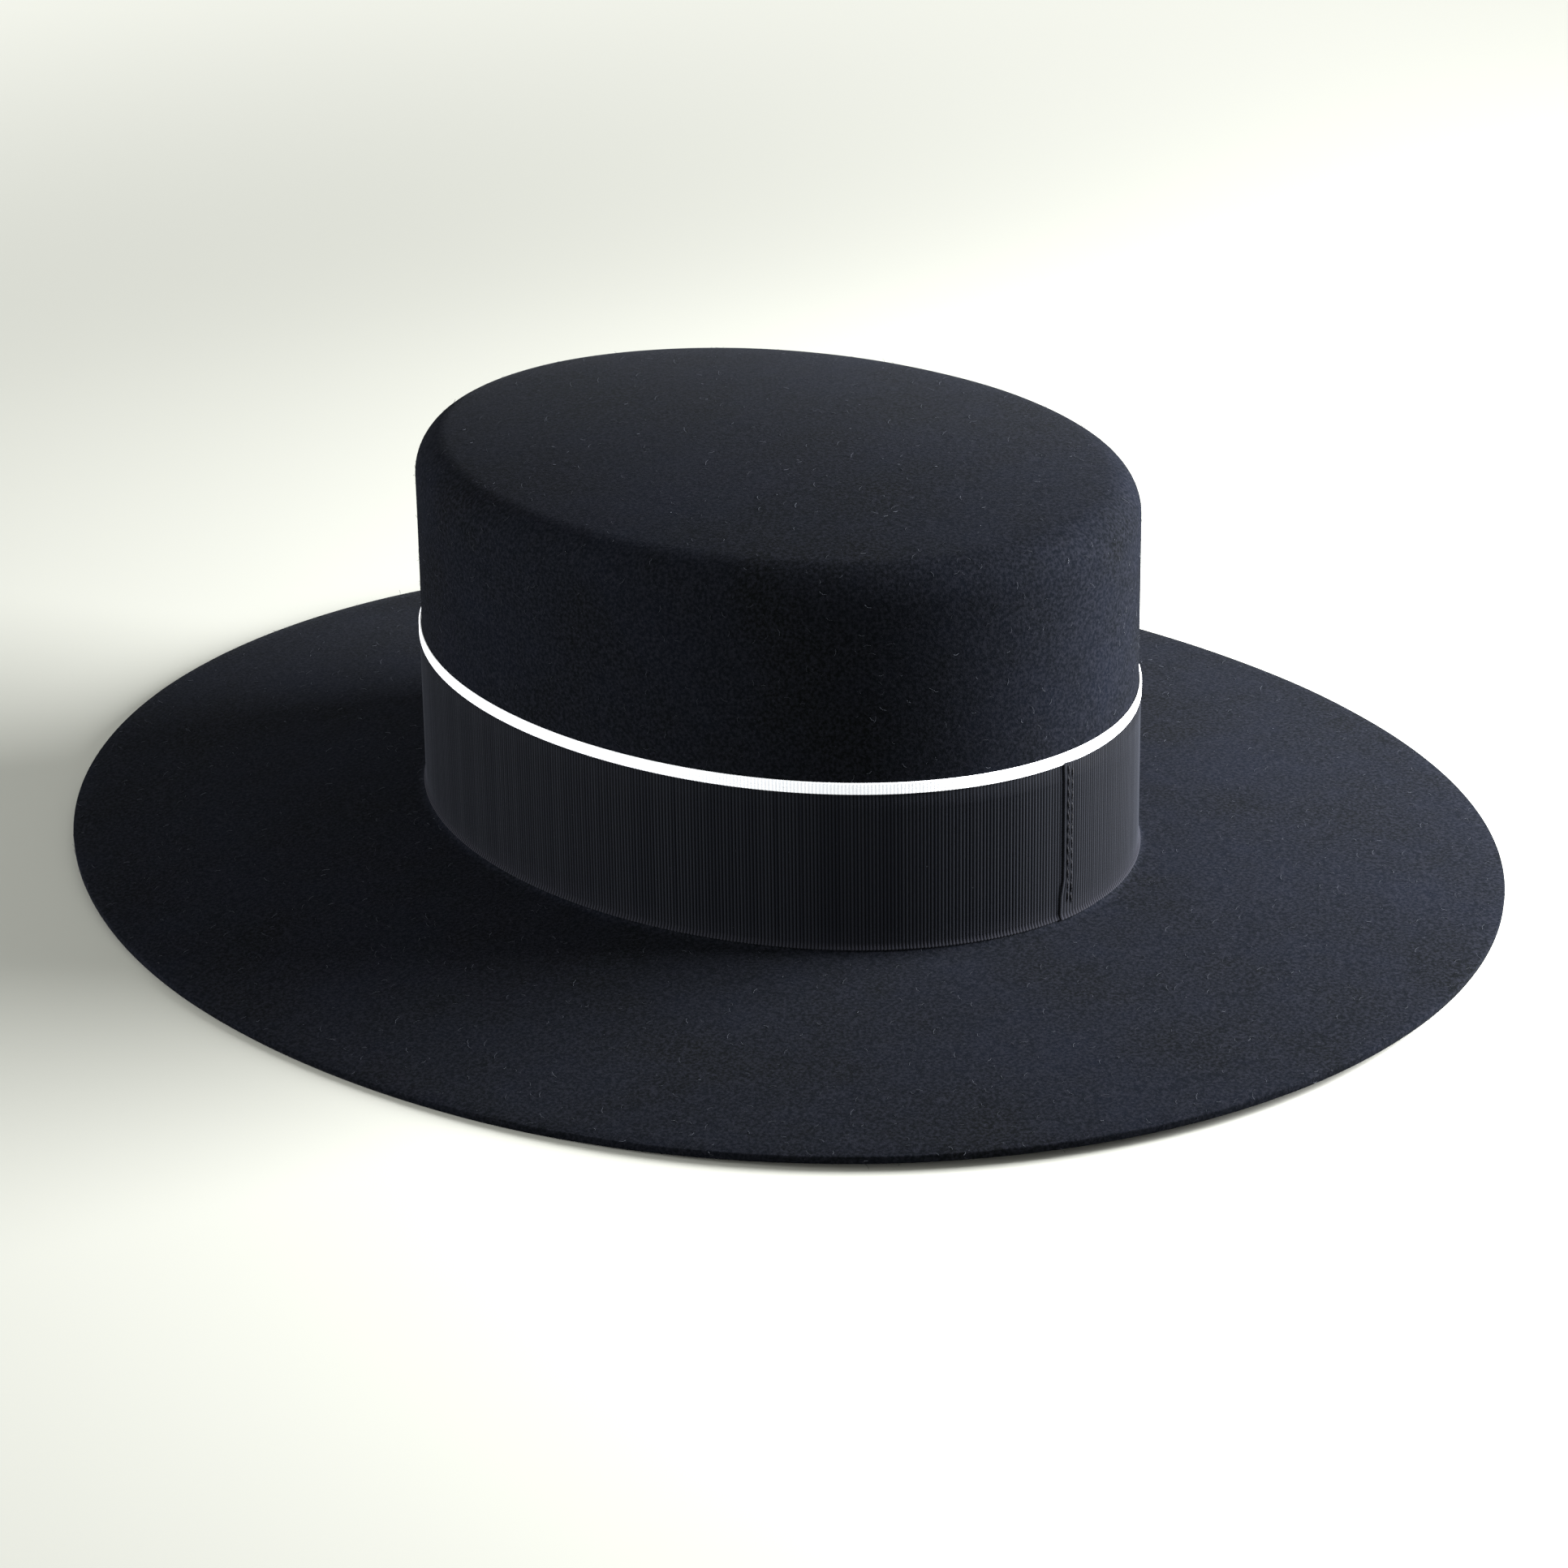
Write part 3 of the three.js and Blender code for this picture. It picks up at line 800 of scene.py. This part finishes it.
# %% [markdown]
# ## Lap: two rows of stitches
#
# The upper end of the ribbon is sewn down beside its fold with two rows of short stitches. A stitch is a
# bit of thread that comes up out of the ribbon and goes down again, so it is an arched tube whose ends are
# sunk. The tree makes one stitch and puts a copy at each place, leaning a little by chance as hand stitches
# do.

# %% Make one stitch
STITCH_INPUTS = {
    "Points": "Geometry", "Half Size": "Vector", "Stitch": "Float", "Thread": "Float", "Arch": "Float",
    "Sink": "Float", "Lean": "Float", "Seed": "Int", "Material": "Material",
}
STITCH_STEPS = 6
THREAD_SIDES = 6

tree, given, result = start_tree("stitch_rows", STITCH_INPUTS)
low_end = add(tree, MATH, {0: given["Stitch"], 1: -0.5}, operation="MULTIPLY")
high_end = add(tree, MATH, {0: given["Stitch"], 1: 0.5}, operation="MULTIPLY")
start = add(tree, "ShaderNodeCombineXYZ", {"Z": low_end})
end = add(tree, "ShaderNodeCombineXYZ", {"Z": high_end})
straight = add(tree, "GeometryNodeCurvePrimitiveLine", {"Start": start, "End": end})
stepped = add(tree, "GeometryNodeResampleCurve", {"Curve": straight, "Count": STITCH_STEPS + 1})
spline = add(tree, "GeometryNodeSplineParameter")
swing = add(tree, MATH, {0: spline.outputs["Factor"], 1: math.pi}, operation="MULTIPLY")
bow = add(tree, MATH, {0: swing}, operation="SINE")
rise = add(tree, MATH, {0: bow, 1: given["Arch"]}, operation="MULTIPLY")
sunk = add(tree, MATH, {0: rise, 1: given["Sink"]}, operation="SUBTRACT")
bend = add(tree, "ShaderNodeCombineXYZ", {"X": sunk})
arched = add(tree, "GeometryNodeSetPosition", {"Geometry": stepped, "Offset": bend})
circle = add(
    tree, "GeometryNodeCurvePrimitiveCircle", {"Resolution": THREAD_SIDES, "Radius": given["Thread"]}
)
stitch = add(tree, "GeometryNodeCurveToMesh", {"Curve": arched, "Profile Curve": circle, "Fill Caps": True})
print("a stitch has", STITCH_STEPS * THREAD_SIDES, "sides")

# %% Put a copy of the stitch at each place
square = square_to_oval(tree, given["Half Size"])
facing = add(tree, "FunctionNodeAlignRotationToVector", {"Vector": square}, axis="X", pivot_axis="Z")
mirrored = add(tree, MATH, {0: given["Lean"], 1: -1.0}, operation="MULTIPLY")
chance = add(
    tree, "FunctionNodeRandomValue", {"Min": mirrored, "Max": given["Lean"], "Seed": given["Seed"]}
)
lean = add(tree, "ShaderNodeCombineXYZ", {"X": chance})
leaning = add(tree, "FunctionNodeEulerToRotation", {0: lean})
turned = add(
    tree, "FunctionNodeRotateRotation", {"Rotation": facing, "Rotate By": leaning}, rotation_space="LOCAL"
)
copies = add(
    tree, "GeometryNodeInstanceOnPoints", {"Points": given["Points"], "Instance": stitch, "Rotation": turned}
)
end_tree(tree, given, result, copies)

# %% Place the stitches
STITCH_ROWS = (1.5 * MM, 2.9 * MM)  # from the fold of the upper end
STITCH_LENGTH = 2.8 * MM
STITCH_PITCH = 3.3 * MM
FIRST_STITCH = 2.0 * MM  # below the ribbon's top

spots = []
for number, beside in enumerate(STITCH_ROWS):
    angle = math.acos((LAP_PLACE - beside) / half_width)
    outward = Vector((math.cos(angle) / half_width, math.sin(angle) / half_length, 0)).normalized()
    out = INSIDE + THICKNESS + CLIMB * (1 - beside / LAP)
    height = ribbon_top - FIRST_STITCH - number * STITCH_PITCH / 3
    while height > break_height + STITCH_LENGTH / 2:
        wall_point = Vector((half_width * math.cos(angle), half_length * math.sin(angle), height))
        spots.append(wall_point + outward * out)
        height -= STITCH_PITCH
mesh = bpy.data.meshes.new("lap_stitches")
mesh.from_pydata(spots, [], [])
lap_stitches = new_object("lap_stitches", mesh)
put_modifier(lap_stitches, tree, {
    "Half Size": half_size, "Stitch": STITCH_LENGTH, "Thread": 0.22 * MM, "Arch": 0.2 * MM,
    "Sink": 0.2 * MM, "Lean": 0.12, "Seed": 3, "Material": thread,
})
make_plain(lap_stitches)
print(len(spots), "stitches")

# %% [markdown]
# ## Felt: loose fibres
#
# Even brushed felt sheds a little: single hairs that took less dye stand out of the nap, show as pale
# flecks and blur the outline of the brim. The tree scatters points over the felt, lays a bent hair at each
# and turns it by chance, nearly flat against the surface. A hair has only 14 triangles, because
# there are thousands. None starts in the lowest 1.2 mm of the hat, so that no hair reaches into the table.

# %% Make the fur of the loose fibres
loose_fur, tree, shader, place = start_material("loose_rabbit_fur")
BLOTCH = 6 * MM  # stretch over which the hairs' dye changes
blotch = add(tree, "ShaderNodeTexNoise", {"Vector": place, "Scale": 1 / BLOTCH, "Detail": 1.0})
tone = add(
    tree, "ShaderNodeMix", {0: blotch, "A": linear("#0f1116"), "B": linear("#373a41")}, data_type="RGBA"
)
tree.links.new(tone.outputs[2], shader.inputs["Base Color"])
shader.inputs["Roughness"].default_value = 0.9
shader.inputs["Specular IOR Level"].default_value = 0.1
print("made", loose_fur.name)

# %% Scatter points over the felt
FIBRE_INPUTS = {
    "Felt": "Geometry", "Density": "Float", "Clear": "Float", "Hair": "Float", "Thick": "Float",
    "Bow": "Float", "Seed": "Int", "Material": "Material",
}
tree, given, result = start_tree("loose_fibres", FIBRE_INPUTS)
place = add(tree, "GeometryNodeInputPosition")
level = add(tree, "ShaderNodeSeparateXYZ", {0: place}).outputs["Z"]
high = add(tree, "FunctionNodeCompare", {0: level, 1: given["Clear"]}, operation="GREATER_THAN")
scattered = add(
    tree,
    "GeometryNodeDistributePointsOnFaces",
    {"Mesh": given["Felt"], "Selection": high, "Density": given["Density"], "Seed": given["Seed"]},
)
count_nodes(tree)

# %% Make one hair
HAIR_STEPS = 2
HAIR_SIDES = 3

tip_end = add(tree, "ShaderNodeCombineXYZ", {"X": given["Hair"]})
straight = add(tree, "GeometryNodeCurvePrimitiveLine", {"End": tip_end})
stepped = add(tree, "GeometryNodeResampleCurve", {"Curve": straight, "Count": HAIR_STEPS + 1})
spline = add(tree, "GeometryNodeSplineParameter")
swing = add(tree, MATH, {0: spline.outputs["Factor"], 1: math.pi}, operation="MULTIPLY")
bow = add(tree, MATH, {0: swing}, operation="SINE")
rise = add(tree, MATH, {0: bow, 1: given["Bow"]}, operation="MULTIPLY")
bend = add(tree, "ShaderNodeCombineXYZ", {"Y": rise})
bent = add(tree, "GeometryNodeSetPosition", {"Geometry": stepped, "Offset": bend})
circle = add(tree, "GeometryNodeCurvePrimitiveCircle", {"Resolution": HAIR_SIDES, "Radius": given["Thick"]})
hair = add(tree, "GeometryNodeCurveToMesh", {"Curve": bent, "Profile Curve": circle, "Fill Caps": True})
print("a hair has", 2 * HAIR_STEPS * HAIR_SIDES + 2, "triangles")

# %% Lay a hair at each point
FLATTEST = 0.02  # angles between the felt and a hair, in radians
STEEPEST = 0.45

raised = add(
    tree,
    "FunctionNodeRandomValue",
    {"Min": (0.0, -STEEPEST, -math.pi), "Max": (0.0, -FLATTEST, math.pi), "Seed": given["Seed"]},
    data_type="FLOAT_VECTOR",
)
spread = add(tree, "FunctionNodeEulerToRotation", {0: raised})
turned = add(
    tree,
    "FunctionNodeRotateRotation",
    {"Rotation": scattered.outputs["Rotation"], "Rotate By": spread},
    rotation_space="LOCAL",
)
longer = add(tree, "FunctionNodeRandomValue", {"Min": 0.4, "Max": 1.3, "Seed": given["Seed"]})
copies = add(
    tree,
    "GeometryNodeInstanceOnPoints",
    {"Points": scattered.outputs["Points"], "Instance": hair, "Rotation": turned, "Scale": longer},
)
end_tree(tree, given, result, copies, smooth=False)

# %% Grow the fibres
FIBRES = 7000
felt_area = sum(face.area for face in felt_shell.data.polygons)
felt_fibres = new_object("felt_fibres", felt_shell.data.copy())
put_modifier(felt_fibres, tree, {
    "Density": FIBRES / felt_area, "Clear": 1.2 * MM, "Hair": 1.6 * MM, "Thick": 0.04 * MM, "Bow": 0.25 * MM,
    "Seed": 11, "Material": loose_fur,
})
make_plain(felt_fibres)
print(f"felt area {felt_area:.3f} square metres")

# %% [markdown]
# ## Put the pieces on the hat
#
# The hat is one rigid body, so each piece rides on it. The three main pieces stand for the three solids of
# the model, which are hidden.

for piece, slot in (
    (felt_shell, "felt"), (felt_fibres, "felt"), (grosgrain_ribbon, "ribbon"), (lap_stitches, "ribbon"),
    (white_ribbon_edge, "white_ribbon"),
):
    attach(piece, "root")
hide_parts("felt_body")
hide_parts("ribbon_band")
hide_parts("white_edge")

# %% [markdown]
# ## Floor, light and camera
#
# A soft light stands close by at the right, as in the photo: it fades across the hat, so the tip and the
# brim are greyer at the right, and the crown shades the left half. A weaker one shines from low at the
# left, a weak one from beside the camera, and the pale studio all round fills in the rest. Black felt needs
# so much light that white paper would burn out beside it, so the floor is graduated backdrop paper: grey
# under the hat, where it comes out pale, and off-white further away.

# %% Lay the floor
FLOOR_REACH = 6.0
GREY_REACH = 0.45  # the paper is an even grey as far as this from the middle of the hat
PALE_REACH = 1.4  # and an even off-white beyond this

floor_mesh = bpy.data.meshes.new("floor")
corners = [(x * FLOOR_REACH, y * FLOOR_REACH, 0.0) for x, y in ((-1, -1), (1, -1), (1, 1), (-1, 1))]
floor_mesh.from_pydata(corners, [], [(0, 1, 2, 3)])
floor = new_object("floor", floor_mesh)
paper, tree, shader, place = start_material("matt_paper_backdrop")
reach = add(tree, VECTOR, {0: place}, operation="LENGTH")
fade = add(
    tree, "ShaderNodeMapRange", {"Value": reach, "From Min": GREY_REACH, "From Max": PALE_REACH},
    interpolation_type="SMOOTHSTEP",
)
tone = add(
    tree, "ShaderNodeMix", {0: fade, "A": linear("#868782"), "B": linear("#eeefea")}, data_type="RGBA"
)
tree.links.new(tone.outputs[2], shader.inputs["Base Color"])
shader.inputs["Roughness"].default_value = 0.95
floor_mesh.materials.append(paper)
print("the floor is", 2 * FLOOR_REACH, "metres wide")

# %% Set up the camera
# These values were fitted to the outlines of the hat in the photo.
AZIMUTH = math.radians(131.393)
ELEVATION = math.radians(24.315)
ROLL = math.radians(-0.777)
DISTANCE = 1443.7 * MM
TARGET = Vector((0.0, 2.69 * MM, 16.85 * MM))
FOCAL_PIXELS = 6449.7
FRAME_PIXELS = 1932
SENSOR = 36  # width of the camera's sensor, in millimetres

backward = Vector((
    math.sin(AZIMUTH) * math.cos(ELEVATION), -math.cos(AZIMUTH) * math.cos(ELEVATION), math.sin(ELEVATION)
))
level_right = Vector((math.cos(AZIMUTH), math.sin(AZIMUTH), 0.0))
level_up = backward.cross(level_right)
right = level_right * math.cos(ROLL) + level_up * math.sin(ROLL)
up = backward.cross(right)
camera_data = bpy.data.cameras.new("camera")
camera = new_object("camera", camera_data)
camera_data.sensor_width = SENSOR
camera_data.lens = SENSOR * FOCAL_PIXELS / FRAME_PIXELS
camera.matrix_world = Matrix((right, up, backward)).transposed().to_4x4()
camera.location = TARGET + backward * DISTANCE
bpy.context.scene.camera = camera
print(f"camera lens {camera_data.lens:.1f} mm")


# %% Set up the lights
def shine(name, turn, rise, distance, size, power):
    """A square soft light that points at the hat. `turn` counts in degrees from the camera's right, away
    from the camera, and `rise` up from the floor. The lamp itself is never seen, only its light."""
    level = level_right * math.cos(math.radians(turn)) + beyond * math.sin(math.radians(turn))
    direction = level * math.cos(math.radians(rise)) + Vector((0.0, 0.0, math.sin(math.radians(rise))))
    light = bpy.data.lights.new(name, "AREA")
    light.size = size
    light.energy = power
    lamp = new_object(name, light)
    lamp.location = TARGET + direction * distance
    lamp.rotation_euler = direction.to_track_quat("Z", "Y").to_euler()
    lamp.visible_camera = False
    print(name, "of", power, "watts")


beyond = Vector((-backward.x, -backward.y, 0.0)).normalized()
shine("right_light", turn=4, rise=23, distance=0.65, size=0.38, power=54)
shine("left_light", turn=180, rise=9, distance=1.3, size=0.4, power=27)
shine("front_light", turn=255, rise=15, distance=1.3, size=0.8, power=4)

# %% Light the studio all round
world = bpy.data.worlds.new("studio")
bpy.context.scene.world = world
world.use_nodes = True
world.node_tree.nodes["Background"].inputs["Color"].default_value = linear("#f0f1ea")
world.node_tree.nodes["Background"].inputs["Strength"].default_value = 1.0
bpy.context.scene.view_settings.view_transform = "Standard"
print("made the world", world.name)
